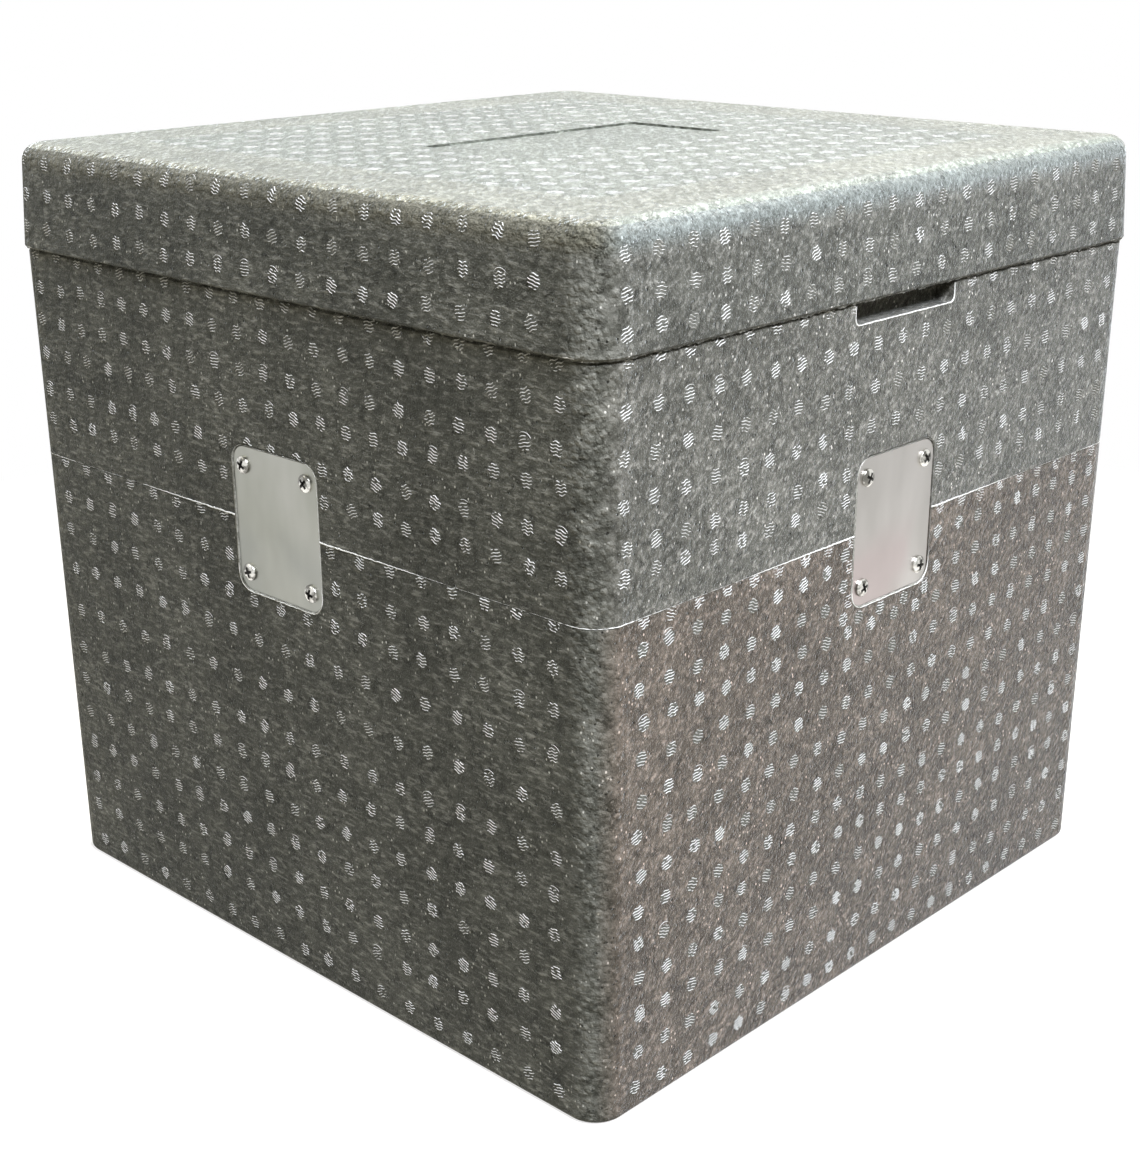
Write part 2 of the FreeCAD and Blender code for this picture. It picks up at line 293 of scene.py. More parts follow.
def foam_material():
    """Moulded bead foam: streaked grey skin, beads that show at corners and brim, dark pits, pale flecks."""
    g = Graph("grey_bead_foam")
    corner = near_corner(g)
    brim = near_brim(g)
    top = on_top(g)
    off_top = g.math("SUBTRACT", 1.0, top)
    along_x = faces_x(g)
    sideways = g.math("MULTIPLY", along_x, off_top)
    bent = bent_place(g)
    bead_tint = g.ramp(g.cells(1 / BEAD_SIZE, output="Color", vector=bent), (0.1, 0.0), (0.9, 1.0))
    bead_dome = g.ramp(g.cells(1 / BEAD_SIZE, vector=bent), (0.0, 1.0), (0.62, 0.0))
    fine = g.noise(FINE, 2, 0.5)
    mottle = g.noise(MOTTLE, 4, 0.62)

    # Streaks that run level on the sides along Y, slanted on the sides along X, and to a corner on the top
    level = g.noise(LEVEL_GRAIN, 3, 0.62, g.stretched((1, 0, 0), 3.0))
    slanted = g.noise(SLANTED_GRAIN, 4, 0.68, g.stretched((0, 1, 1), 1.35))
    across = g.noise(ACROSS_GRAIN, 3, 0.62, g.stretched((1, -1, 0), 2.6))
    grain = g.mix(top, g.mix(sideways, level, slanted), across)
    strength = g.math("MULTIPLY_ADD", sideways, 0.1, 0.8)
    dark_grain = g.math("MULTIPLY", strength, g.ramp(grain, (0.36, 0.9), (0.49, 0.0)))
    pale_grain = g.math("MULTIPLY", strength, g.ramp(grain, (0.53, 0.0), (0.68, 0.75)))

    # The skin
    color = g.mix(g.ramp(mottle, (0.34, 0.0), (0.66, 1.0)), FOAM_DARK, FOAM_MID)
    color = g.mix(g.ramp(g.noise(BLOTCH, 3, 0.6), (0.34, 0.75), (0.47, 0.0)), color, FOAM_PIT)
    bead_part = g.math("MULTIPLY_ADD", g.math("MAXIMUM", corner, brim), 0.22, 0.10)
    color = g.mix(g.math("MULTIPLY", bead_tint, bead_part), color, FOAM_PALE)
    color = g.mix(dark_grain, color, FOAM_DARK)
    color = g.mix(pale_grain, color, FOAM_PALE)
    color = g.mix(g.ramp(fine, (0.58, 0.0), (0.74, 0.4)), color, FOAM_PALE)
    clouds = g.ramp(g.noise(CLOUDS, 4, 0.6), (0.36, 0.0), (0.64, 1.0))
    color = g.mix(1.0, color, g.mix(clouds, DULL_CLOUD, BRIGHT_CLOUD), "MULTIPLY")

    # Gaps between the beads and rubbed places at the corners, pits, flecks, and fuzz under the brim
    gaps = g.math("MULTIPLY", g.ramp(bead_dome, (0.05, 1.0), (0.26, 0.0)), corner)
    color = g.mix(g.math("MULTIPLY", gaps, 0.25), color, FOAM_PIT)
    rubbed = g.math("MULTIPLY", corner, g.ramp(g.noise(90, 4, 0.6), (0.46, 0.0), (0.62, 0.32)))
    color = g.mix(rubbed, color, FOAM_PALE)
    pit = g.ramp(g.cells(1 / PIT_SPACING, vector=bent), (0.10, 1.0), (0.20, 0.0))
    pits = g.math("MULTIPLY", pit, g.ramp(g.noise(130, 2, 0.5), (0.46, 0.0), (0.56, 1.0)))
    color = g.mix(g.math("MULTIPLY", pits, 0.85), color, FOAM_PIT)
    fleck = g.ramp(g.cells(1 / FLECK_SPACING, vector=g.scaled((1.0, 1.0, 0.7))), (0.10, 1.0), (0.20, 0.0))
    some_flecks = g.ramp(g.noise(90, 2, 0.5), (0.51, 0.0), (0.60, 1.0))
    color = g.mix(g.math("MULTIPLY", g.math("MULTIPLY", fleck, some_flecks), 0.85), color, FOAM_FLECK)
    fuzz = g.math("MULTIPLY", rises(g, g.z, LID_TOP - FUZZ_START, LID_TOP - FUZZ_FULL),
                  g.ramp(fine, (0.4, 0.0), (0.6, 0.4)))
    color = g.mix(g.math("MULTIPLY", fuzz, off_top), color, FOAM_PALE)

    # Painted light on the sides along X, by its own amount on each piece: the collar much lighter, the lid a
    # little, the tub warmer as painted bounce light from the floor; the edges, the corners and the top get
    # painted light and shade
    side_light_tint = g.mix(rises(g, g.z, SEAM + 1 * MM, SEAM - 1 * MM), COLLAR_SIDE_LIGHT, TUB_SIDE_LIGHT)
    side_light_tint = g.mix(rises(g, g.z, RIM - 1 * MM, RIM + 1 * MM), side_light_tint, LID_SIDE_LIGHT)
    color = g.tinted(color, sideways, side_light_tint)
    # Painted highlight on the lid's brim: dimmed and creamier on the sides along Y, bluish on the sides
    # along X
    warm_shaded_edge = g.math("MULTIPLY", brim, g.math("SUBTRACT", 1.0, along_x))
    color = g.tinted(color, warm_shaded_edge, WARM_EDGE_SHADE)
    cool_highlight_edge = g.math("MULTIPLY", brim, along_x)
    color = g.tinted(color, cool_highlight_edge, COOL_EDGE_HIGHLIGHT)
    # Painted shade: the upright corners darker
    color = g.tinted(color, corner, CORNER_SHADE)
    # Painted light: the lid's top much lighter on its border, and a little lighter and greener in its vent
    # square
    color = g.tinted(color, top, g.mix(in_vent_square(g), BORDER_LIGHT, VENT_SQUARE_LIGHT))

    # Relief and gloss
    swell = g.math("MULTIPLY_ADD", brim, 0.4, g.math("MULTIPLY_ADD", corner, 0.55, 0.14))
    normal = g.bump(g.math("MULTIPLY", bead_dome, swell), BEAD_RELIEF)
    grain_lift = g.math("MULTIPLY_ADD", top, 0.9, g.math("MULTIPLY_ADD", sideways, 0.4, 0.6))
    normal = g.bump(g.math("MULTIPLY", grain, grain_lift), GRAIN_RELIEF, normal)
    normal = g.bump(fine, FINE_RELIEF, normal)
    normal = g.bump(g.math("MULTIPLY", pits, -1.0), PIT_RELIEF, normal)
    rough = g.ramp(mottle, (0.3, 0.40), (0.7, 0.55))
    glossy_top = g.math("MULTIPLY", top, g.ramp(across, (0.36, 0.0), (0.64, 2.0)))
    shiny = g.math("MAXIMUM", glossy_top, cool_highlight_edge)
    g.feed(g.shader.inputs["Specular IOR Level"], g.math("MULTIPLY_ADD", shiny, 0.43, 0.07))
    g.feed(g.shader.inputs["Sheen Weight"], g.math("MULTIPLY_ADD", g.math("MAXIMUM", top, shiny), 0.5, 0.4))
    return g.finish(color, rough, normal, IOR=1.34, Sheen_Roughness=0.3, Sheen_Tint=(0.94, 1.0, 1.0, 1))


def pressed_foam(name, scale, dull, bright, rough, relief, **fixed):
    """A small piece's foam, uneven in tone between a dull and a bright colour: foam that the mould has
    pressed or squeezed out, and the painted shade between vent ridges.
    """
    g = Graph(name)
    return g.finish(g.tone(scale, dull, bright), rough, g.bump(g.noise(900, 2, 0.5), relief), **fixed)


def plate_material(name, dull, bright, stain, stain_part):
    """Satin steel sheet with soft smears, which stand partly for painted reflections, a faint stain and
    rubbed grain.
    """
    g = Graph(name)
    smear_and_reflection = g.noise(26, 3, 0.5, g.scaled((1, 1, 0.45)))
    color = g.mix(g.ramp(smear_and_reflection, (0.36, 0.0), (0.62, 1.0)), dull, bright)
    patch = g.ramp(g.noise(26, 1, 0.4), (0.42, 0.0), (0.60, stain_part))
    low = rises(g, g.z, SEAM + 4 * MM, SEAM - 14 * MM)
    color = g.mix(g.math("MULTIPLY", patch, low), color, stain)
    rough = g.ramp(g.noise(60, 3, 0.6), (0.3, 0.28), (0.7, 0.42))
    grain = g.noise(1500, 2, 0.5, g.scaled((1, 1, 0.06)))
    return g.finish(color, rough, g.bump(grain, 0.01 * MM), Metallic=1.0)


def screw_material():
    """Bright plated screw with dark patches, partly dull plating and partly painted reflections of darker
    surroundings.
    """
    g = Graph("bright_screw_steel")
    dull_and_reflection_patches = g.ramp(g.noise(300, 2, 0.5), (0.42, 0.0), (0.56, 1.0))
    color = g.mix(dull_and_reflection_patches, (0.20, 0.195, 0.175, 1), (0.76, 0.75, 0.70, 1))
    rough = g.ramp(g.noise(500, 2, 0.5), (0.3, 0.14), (0.7, 0.28))
    return g.finish(color, rough, g.bump(g.noise(1200, 2, 0.5), 0.01 * MM), Metallic=1.0)


def recess_shade_material():
    """The inside of a screw's drive, painted dark as the shade in the recess."""
    g = Graph("drive_recess_painted_shade")
    color = g.mix(g.noise(900, 2, 0.5), (0.012, 0.011, 0.009, 1), (0.06, 0.057, 0.050, 1))
    return g.finish(color, 0.5, g.bump(g.noise(1500, 2, 0.5), 0.03 * MM), Metallic=0.8)


def anchor_material():
    """Natural nylon."""
    g = Graph("natural_nylon")
    color = g.mix(g.noise(90, 3, 0.5), (0.62, 0.61, 0.55, 1), (0.72, 0.71, 0.66, 1))
    return g.finish(color, 0.45, g.bump(g.noise(800, 2, 0.5), 0.03 * MM), IOR=1.53)


def clad(node, material):
    """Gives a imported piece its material."""
    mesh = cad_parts[node].data
    mesh.materials.clear()
    mesh.materials.append(material)


foam = foam_material()
# The thin skin squeezed out at the mould's edges, near white partly as a painted highlight on its thin
# ridges
flash_and_highlight = pressed_foam("pale_foam_flash_and_highlight", 400, (0.78, 0.78, 0.74, 1), (0.92, 0.92, 0.88, 1), 0.5,
                     0.1 * MM, IOR=1.5, Sheen_Weight=0.5)
# The ridges of the vent marks on the sides, pale partly as a painted highlight; a darker copy of them on the
# top, as painted shade for its brighter light; and a dark sheet between ridges, as painted shade in the
# slots
vent_ridge_and_highlight = pressed_foam("vent_ridges_and_highlight", 400, (0.43, 0.43, 0.41, 1), (0.62, 0.62, 0.59, 1), 0.55,
                          0.1 * MM, IOR=1.34, Sheen_Weight=0.5)
top_ridge_shaded = pressed_foam("top_vent_ridges_shaded", 400, (0.28, 0.28, 0.26, 1), (0.46, 0.46, 0.43, 1), 0.55,
                          0.1 * MM, IOR=1.34, Sheen_Weight=0.5)
vent_gap_shade = pressed_foam("vent_gap_painted_shade", 500, (0.09, 0.092, 0.080, 1), (0.17, 0.172, 0.152, 1), 0.8,
                          0.2 * MM, IOR=1.3)
# Foam pressed smooth where it swells into a gap, paler than the skin as painted light against the gap's
# shade
swollen_foam_painted_light = pressed_foam("pressed_foam", 500, (0.13, 0.13, 0.11, 1), (0.36, 0.36, 0.32, 1), 0.55,
                            0.2 * MM, IOR=1.34)
for name in ("lower_tub", "upper_collar", "lid"):
    clad(name, foam)
# Two copies of the plate steel: a darker olive one for the sides along Y as painted shade, and a lighter
# warm one for the sides along X as painted light
plate_olive_shaded = plate_material("satin_steel_olive_shaded", (0.33, 0.335, 0.29, 1), (0.45, 0.45, 0.41, 1),
                             (0.30, 0.31, 0.29, 1), 0.5)
plate_warm_lit = plate_material("satin_steel_warm_lit", (0.45, 0.435, 0.41, 1), (0.56, 0.54, 0.515, 1),
                            (0.50, 0.40, 0.40, 1), 0.45)
recess_painted_shade = recess_shade_material()
screw_steel = screw_material()
nylon = anchor_material()
for side, facing in SIDES.items():
    clad(side + "_plate", plate_warm_lit if facing % 180 == 0 else plate_olive_shaded)
    clad(side + "_screws", screw_steel)
    clad(side + "_anchors", nylon)


# Surfaces of the foam pieces, which carry the moulding marks
RAY_START = 5 * MM
ON_PLANE = 0.1 * MM
# How far a face may fall away from its plane and still carry marks: over a rounded edge, but not in a pocket
EDGE_FALL = 1.0 * MM
LID_EDGE_FALL = 2.4 * MM


class Face:
    """A side of one foam piece, with its own (across, along) places, read by rays sent against it."""

    def __init__(self, node, origin, across, along, outward, slack):
        self.tree = trees[node]
        self.origin, self.across, self.along = origin, across, along
        self.outward, self.slack = outward, slack

    def at(self, a, b):
        """The point of the plane at (a, b)."""
        return self.origin + self.across * a + self.along * b

    def skin(self, a, b):
        """The piece's own surface at this place and its normal, or None where it lies too deep."""
        start = self.at(a, b) + self.outward * RAY_START
        point, normal, _, distance = self.tree.ray_cast(start, -self.outward, RAY_START + self.slack)
        if point is None or distance < RAY_START - ON_PLANE:
            return None
        if normal.dot(self.outward) < 0:
            normal = -normal
        return point, normal


def tree_of(node):
    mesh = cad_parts[node].data
    mesh.calc_loop_triangles()
    corners = [vertex.co.copy() for vertex in mesh.vertices]
    return BVHTree.FromPolygons(corners, [tuple(t.vertices) for t in mesh.loop_triangles])


trees = {name: tree_of(name) for name in ("lower_tub", "upper_collar", "lid")}


def side_face(node, side):
    """A drafted side: a runs to the right seen from outside, b is the height above the floor."""
    angle = math.radians(SIDES[side])
    out = Vector((math.cos(angle), math.sin(angle), 0))
    right = Vector((-math.sin(angle), math.cos(angle), 0))
    if node == "lid":
        half, lean, slack = LID_HALF, -LID_DRAFT, LID_EDGE_FALL
    else:
        half, lean, slack = BODY_HALF, BODY_DRAFT, EDGE_FALL
    up = Vector((0, 0, 1)) + out * math.tan(lean)
    origin = out * (half - RIM * math.tan(lean))
    outward = right.cross(up).normalized()
    return Face(node, origin, right, up, outward, slack)


def mesh_of(name, vertices, faces, material):
    mesh = bpy.data.meshes.new(name)
    mesh.from_pydata(vertices, [], faces)
    mesh.materials.append(material)
    return mesh


def placed(name, data):
    """A new object in the scene."""
    thing = bpy.data.objects.new(name, data)
    bpy.context.scene.collection.objects.link(thing)
    return thing


def add_piece(name, vertices, faces, material, body, smooth=False):
    """A mesh piece with its own material, that rides on a body."""
    mesh = mesh_of(name, vertices, faces, material)
    for polygon in mesh.polygons:
        polygon.use_smooth = smooth
    piece = placed(name, mesh)
    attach(piece, body)
    return piece


def join_rings(rings, faces, closed=False):
    """Joins rings of vertex numbers into a band, closed on itself or with a cap at each end."""
    for ring, after in zip(rings, rings[1:] + rings[:1] if closed else rings[1:]):
        for corner in range(len(ring)):
            other = (corner + 1) % len(ring)
            faces.append((ring[corner], ring[other], after[other], after[corner]))
    if not closed:
        faces.append(tuple(reversed(rings[0])))
        faces.append(tuple(rings[-1]))


# Vent marks: round patches of wavy ridges, left by the slotted vents of the mould

VENT_RADIUS = 3.4 * MM
RIDGES = 5
RIDGE_HEIGHT = 0.37 * MM
RIDGE_ROOT = 0.12 * MM
RIDGE_HALF_WIDTH = 0.34 * MM
RIDGE_POINTS = 11
BROKEN_SHARE = 0.3
# The marks on the lid's top are wider and flatter, and their ridges run towards a corner of the lid
TOP_VENT_RADIUS = 4.1 * MM
TOP_RIDGES = 4
TOP_RIDGE_HEIGHT = 0.22 * MM
TOP_RIDGE_HALF_WIDTH = 0.30 * MM
TOP_TURN = math.radians(45)
# How far a mark's ridges are turned, in degrees: spread and limit on the sides, and spread on the top
TURN_SPREAD, MOST_TURN, TOP_TURN_SPREAD = 18, 22, 10
# The disc between the ridges, a dark sheet of painted shade in the slots
FLOOR_HEIGHT = 0.03 * MM
FLOOR_CORNERS = 12
# The arc over some marks, left by the edge of the vent's cap
ARC_RADIUS = 4.4 * MM
ARC_SHARE = 0.1
# How far a row is shifted, in millimetres, and how far a single mark is off its place
ROW_SHIFT = 1.2
MARK_SHIFT = 0.9 * MM


def ridge_runs(face, centre, radius, turn, ridges):
    """The runs of skin points of one vent mark's ridges, broken where the foam doesn't carry them."""
    wave = random.uniform(0.10, 0.34) * MM
    wave_length = random.uniform(2.8, 4.4) * MM
    phase = random.uniform(0, 2 * math.pi)
    cos_turn, sin_turn = math.cos(turn), math.sin(turn)
    pitch = 2 * radius / ridges
    for ridge in range(ridges):
        offset = (ridge + 0.5) * pitch - radius
        reach = math.sqrt(max(radius ** 2 - offset ** 2, 0)) * random.uniform(0.84, 1.06)
        slide = random.uniform(-0.3, 0.3) * MM
        break_step = random.randrange(2, RIDGE_POINTS - 2) if random.random() < BROKEN_SHARE else None
        run = []
        for step in range(RIDGE_POINTS):
            s = reach * (2 * step / (RIDGE_POINTS - 1) - 1) + slide
            t = offset + wave * math.sin(2 * math.pi * s / wave_length + phase)
            skin = face.skin(centre[0] + s * cos_turn - t * sin_turn,
                             centre[1] + s * sin_turn + t * cos_turn)
            ended = skin is None or step == break_step
            if not ended:
                run.append(skin)
            if ended or step == RIDGE_POINTS - 1:
                if len(run) > 1:
                    yield run
                run = []


def ridge_prism(run, height, half_width, vertices, faces):
    """Adds a closed three-sided bar along a run of skin points."""
    rings = []
    for index, (point, normal) in enumerate(run):
        before = run[max(index - 1, 0)][0]
        after = run[min(index + 1, len(run) - 1)][0]
        part = 0.5 if index in (0, len(run) - 1) else 1.0
        side = normal.cross(after - before).normalized() * half_width * part
        root = normal * RIDGE_ROOT
        rings.append(range(len(vertices), len(vertices) + 3))
        vertices += [point + side - root, point + normal * height * part, point - side - root]
    join_rings(rings, faces)


def vent_disc(face, centre, vertices, faces):
    """Adds the thin closed disc of painted shade under a mark's ridges, if the foam carries the whole of it.
    """
    ring = []
    for corner in range(FLOOR_CORNERS):
        angle = 2 * math.pi * corner / FLOOR_CORNERS
        reach = VENT_RADIUS * random.uniform(0.90, 1.06)
        skin = face.skin(centre[0] + reach * math.cos(angle), centre[1] + reach * math.sin(angle))
        if skin is None:
            return
        ring.append(skin)
    first = len(vertices)
    middle = first + FLOOR_CORNERS
    vertices.extend(point - normal * RIDGE_ROOT for point, normal in ring)
    vertices.extend(point + normal * FLOOR_HEIGHT for point, normal in ring)
    join_rings([range(first, middle), range(middle, middle + FLOOR_CORNERS)], faces)


def rim_arc(face, centre):
    """A run of skin points along the upper edge of a vent's slotted cap."""
    start = math.radians(random.uniform(30, 60))
    sweep = math.radians(random.uniform(60, 100))
    run = []
    for step in range(RIDGE_POINTS):
        angle = start + sweep * step / (RIDGE_POINTS - 1)
        skin = face.skin(centre[0] + ARC_RADIUS * math.cos(angle), centre[1] + ARC_RADIUS * math.sin(angle))
        if skin is None:
            return []
        run.append(skin)
    return run


def vent_marks(name, body, face, centres):
    """The vent marks of one side: a piece of pale ridges, partly a painted highlight, and a piece of dark
    discs of painted shade between them.
    """
    ridges, ridge_faces = [], []
    discs, disc_faces = [], []
    for centre in centres:
        turn = math.radians(max(-MOST_TURN, min(MOST_TURN, random.gauss(0, TURN_SPREAD))))
        height = RIDGE_HEIGHT * random.uniform(0.7, 1.1)
        half_width = RIDGE_HALF_WIDTH * random.uniform(0.88, 1.05)
        vent_disc(face, centre, discs, disc_faces)
        for run in ridge_runs(face, centre, VENT_RADIUS, turn, RIDGES):
            ridge_prism(run, height, half_width, ridges, ridge_faces)
        arc = rim_arc(face, centre) if random.random() < ARC_SHARE else []
        if arc:
            ridge_prism(arc, 0.6 * height, 0.7 * half_width, ridges, ridge_faces)
    add_piece(name + "_ridges", ridges, ridge_faces, vent_ridge_and_highlight, body)
    add_piece(name + "_gap_shades", discs, disc_faces, vent_gap_shade, body)


def grid(rows, first, last, count):
    """Centres in level rows, given in millimetres: row heights, first and last column, number of columns."""
    pitch = (last - first) / (count - 1)
    for row in rows:
        shift = random.uniform(-ROW_SHIFT, ROW_SHIFT)
        for column in range(count):
            a = first + pitch * column + shift
            yield (a * MM + random.uniform(-MARK_SHIFT, MARK_SHIFT),
                   row * MM + random.uniform(-MARK_SHIFT, MARK_SHIFT))


# Heights of the rows on the broad sides that face along Y, and on the notched sides that face along X
LID_ROWS = {"y": (379.5, 362.5, 346.5), "x": (375, 360, 345.5)}
COLLAR_ROWS = {"y": (333.5, 317.5, 300, 284, 264.5, 248.5), "x": (334, 315.5, 296.5, 278, 260.5, 247.5)}
TUB_ROWS = {
    "y": (227, 209, 190, 170, 147, 124.5, 106.5, 87.5, 69.5, 50, 32, 12),
    "x": (227, 216, 199, 183, 167, 149, 132.5, 114.5, 97.5, 81.5, 64.5, 46.5, 28, 11),
}
LID_COLUMNS = {"y": (-187, 168, 19), "x": (-185, 177, 20)}
COLLAR_COLUMNS = {"y": (-183, 179, 21), "x": (-184, 178, 21)}
TUB_COLUMNS = {"y": (-175, 175, 19), "x": (-173, 179, 21)}
# Extra marks close round the plate on the notched sides, as places on the side
PLATE_EXTRAS = ((-37, 222), (-37, 207), (-36, 191), (-24, 189), (-7, 189), (12, 189), (29, 190))
# The square of marks on the lid's top, and how far it stays away from the sunk field
TOP_ROWS = [-148 + 15.2 * row for row in range(20)]
TOP_COLUMNS = (-148, 146, 17)
FIELD_MARGIN = 6 * MM


def side_marks(prefix, node, body, rows, columns):
    for side, facing in SIDES.items():
        kind = "x" if facing % 180 == 0 else "y"
        centres = list(grid(rows[kind], *columns[kind]))
        if node == "lower_tub" and kind == "x":
            centres += [(a * MM, b * MM) for a, b in PLATE_EXTRAS]
        vent_marks(prefix + "_" + side + "_vents", body, side_face(node, side), centres)


def top_marks():
    """The square of marks on the lid's top, with none in or close to the sunk field."""
    face = Face("lid", Vector((0, 0, LID_TOP)), Vector((1, 0, 0)), Vector((0, 1, 0)), Vector((0, 0, 1)),
                ON_PLANE)
    clear_a, clear_b = (side / 2 + FIELD_MARGIN for side in LABEL_FIELD)
    centres = [(a, b) for a, b in grid(TOP_ROWS, *TOP_COLUMNS) if abs(a) > clear_a or abs(b) > clear_b]
    vertices, faces = [], []
    for centre in centres:
        turn = TOP_TURN + math.radians(random.gauss(0, TOP_TURN_SPREAD))
        for run in ridge_runs(face, centre, TOP_VENT_RADIUS, turn, TOP_RIDGES):
            ridge_prism(run, TOP_RIDGE_HEIGHT, TOP_RIDGE_HALF_WIDTH, vertices, faces)
    add_piece("lid_top_vents_ridges", vertices, faces, top_ridge_shaded, "lid")


side_marks("tub", "lower_tub", "box", TUB_ROWS, TUB_COLUMNS)
side_marks("collar", "upper_collar", "box", COLLAR_ROWS, COLLAR_COLUMNS)
side_marks("lid", "lid", "lid", LID_ROWS, LID_COLUMNS)
top_marks()


# Thin pale flash along edges of the foam, pale partly as a painted highlight

PLATE_EDGE = 31 * MM
# The seam's flash: which way it runs from the plate, and how far from the middle of the side it ends
SEAM_FLASH_ENDS = ((-1, 105 * MM), (1, 98 * MM))
SEAM_FLASH_STEPS = 60
NOTCH_STEPS, NOTCH_LEVEL_STEPS = 6, 40
NOTCH_FLASH_TOP = 1.8 * MM
GAP_CORNER_STEPS = 6
GAP_SPACING = 1.5 * MM
BEAD_SPACING = 1.3 * MM
BEAD_SEGMENTS = 5
BEAD_END = 0.01 * MM
HEM_SPACING = 1.1 * MM
HEM_THICKNESS, HEM_ROOT, HEM_DROP = 0.6 * MM, 0.5 * MM, 1.0 * MM


def flash_line(face, path, radius_at, wobble, vertices, faces, segments=6, sunk=0.0):
    """Adds a closed thin tube along a path on a face, with a radius that varies along it."""
    rings = []
    count = len(path)
    for index, (a, b) in enumerate(path):
        before = path[max(index - 1, 0)]
        after = path[min(index + 1, count - 1)]
        along = (face.at(*after) - face.at(*before)).normalized()
        side = along.cross(face.outward)
        centre = face.at(a, b) + side * random.uniform(-wobble, wobble) - face.outward * sunk
        radius = radius_at(index / (count - 1)) * random.uniform(0.8, 1.2)
        rings.append(range(len(vertices), len(vertices) + segments))
        for corner in range(segments):
            angle = 2 * math.pi * corner / segments
            vertices.append(centre + (side * math.cos(angle) + face.outward * math.sin(angle)) * radius)
    join_rings(rings, faces)


def hump(t, low, high, soft):
    """One between low and high, falling to nothing over a soft width past either."""
    return max(0.0, min(1.0, (t - low) / soft + 1, (high - t) / soft + 1))


def seam_flash():
    """The pale bead at the joint of tub and collar, thickest beside the plates."""
    vertices, faces = [], []
    for side in SIDES:
        face = side_face("upper_collar", side)
        for sign, reach in SEAM_FLASH_ENDS:
            path = [(sign * (PLATE_EDGE + (reach - PLATE_EDGE) * i / SEAM_FLASH_STEPS), SEAM + 0.35 * MM)
                    for i in range(SEAM_FLASH_STEPS + 1)]
            flash_line(face, path, lambda t: (0.46 - 0.36 * t) * MM, 0.18 * MM, vertices, faces)
    add_piece("seam_flash", vertices, faces, flash_and_highlight, "box", smooth=True)


def notch_path():
    """Down one end of the finger notch, along its floor and up the other end."""
    half = NOTCH_WIDTH / 2
    floor = RIM - NOTCH_HEIGHT
    top = RIM - NOTCH_FLASH_TOP
    points = [(-half, top - (top - floor - NOTCH_CORNER) * i / NOTCH_STEPS) for i in range(NOTCH_STEPS)]
    for i in range(NOTCH_STEPS + 1):
        angle = math.pi + math.pi / 2 * i / NOTCH_STEPS
        points.append((-half + NOTCH_CORNER + NOTCH_CORNER * math.cos(angle),
                       floor + NOTCH_CORNER + NOTCH_CORNER * math.sin(angle)))
    end = points[:]
    inner = half - NOTCH_CORNER
    points += [(-inner + 2 * inner * i / NOTCH_LEVEL_STEPS, floor) for i in range(1, NOTCH_LEVEL_STEPS)]
    return points + [(-a, b) for a, b in reversed(end)]


def notch_flash():
    """Flash round each finger notch, thickest along its floor."""
    vertices, faces = [], []
    for side in ("right", "left"):
        face = side_face("upper_collar", side)
        flash_line(face, notch_path(), lambda t: (0.12 + 0.20 * hump(t, 0.14, 0.90, 0.10)) * MM, 0.12 * MM,
                   vertices, faces)
    add_piece("notch_flash", vertices, faces, flash_and_highlight, "box", smooth=True)


def gap_path():
    """Round the middle of the gap between plate and pocket, from its upper left corner against the clock."""
    half_width = GAP_SIZE[0] / 2
    half_height = GAP_SIZE[1] / 2
    corners = ((-1, 1, 90), (-1, -1, 180), (1, -1, 270), (1, 1, 0))
    points = []
    for sign_a, sign_b, first_deg in corners:
        middle_a = sign_a * (half_width - GAP_CORNER)
        middle_b = SEAM + sign_b * (half_height - GAP_CORNER)
        for step in range(GAP_CORNER_STEPS + 1):
            angle = math.radians(first_deg + 90 / GAP_CORNER_STEPS * step)
            points.append((middle_a + GAP_CORNER * math.cos(angle), middle_b + GAP_CORNER * math.sin(angle)))
    points.append(points[0])
    path = []
    for start, end in zip(points, points[1:]):
        steps = max(1, round(math.dist(start, end) / GAP_SPACING))
        path += [tuple(s + (e - s) * i / steps for s, e in zip(start, end)) for i in range(steps)]
    return path + [points[0]]


def pocket_edges():
    """Foam swollen into the gap on a plate's left and lower edges, painted paler against the gap's shade,
    and pale flash along the lowest part.
    """
    swollen, swollen_faces = [], []
    pale, pale_faces = [], []
    for side in SIDES:
        face = side_face("lower_tub", side)
        path = gap_path()
        flash_line(face, path, lambda t: (0.06 + 0.64 * hump(t, 0.04, 0.50, 0.04)) * MM, 0.05 * MM,
                   swollen, swollen_faces, sunk=0.45 * MM)
        flash_line(face, path, lambda t: (0.04 + 0.24 * hump(t, 0.27, 0.52, 0.05)) * MM, 0.15 * MM,
                   pale, pale_faces, segments=5, sunk=-0.05 * MM)
    add_piece("pocket_swell", swollen, swollen_faces, swollen_foam_painted_light, "box", smooth=True)
    add_piece("pocket_flash", pale, pale_faces, flash_and_highlight, "box", smooth=True)


def rounded_square(half, radius, spacing):
    """Points round a square with rounded corners, each with its outward direction."""
    points = []
    inner = half - radius
    side_steps = round(2 * inner / spacing)
    corner_steps = round(math.pi / 2 * radius / spacing)
    local = [(half, -inner + 2 * inner * i / side_steps, 1.0, 0.0) for i in range(side_steps)]
    for i in range(corner_steps):
        cosine, sine = math.cos(math.pi / 2 * i / corner_steps), math.sin(math.pi / 2 * i / corner_steps)
        local.append((inner + radius * cosine, inner + radius * sine, cosine, sine))
    for quarter in range(4):
        turn = Matrix.Rotation(math.radians(90 * quarter), 2)
        for x, y, out_x, out_y in local:
            points.append((turn @ Vector((x, y)), turn @ Vector((out_x, out_y))))
    return points


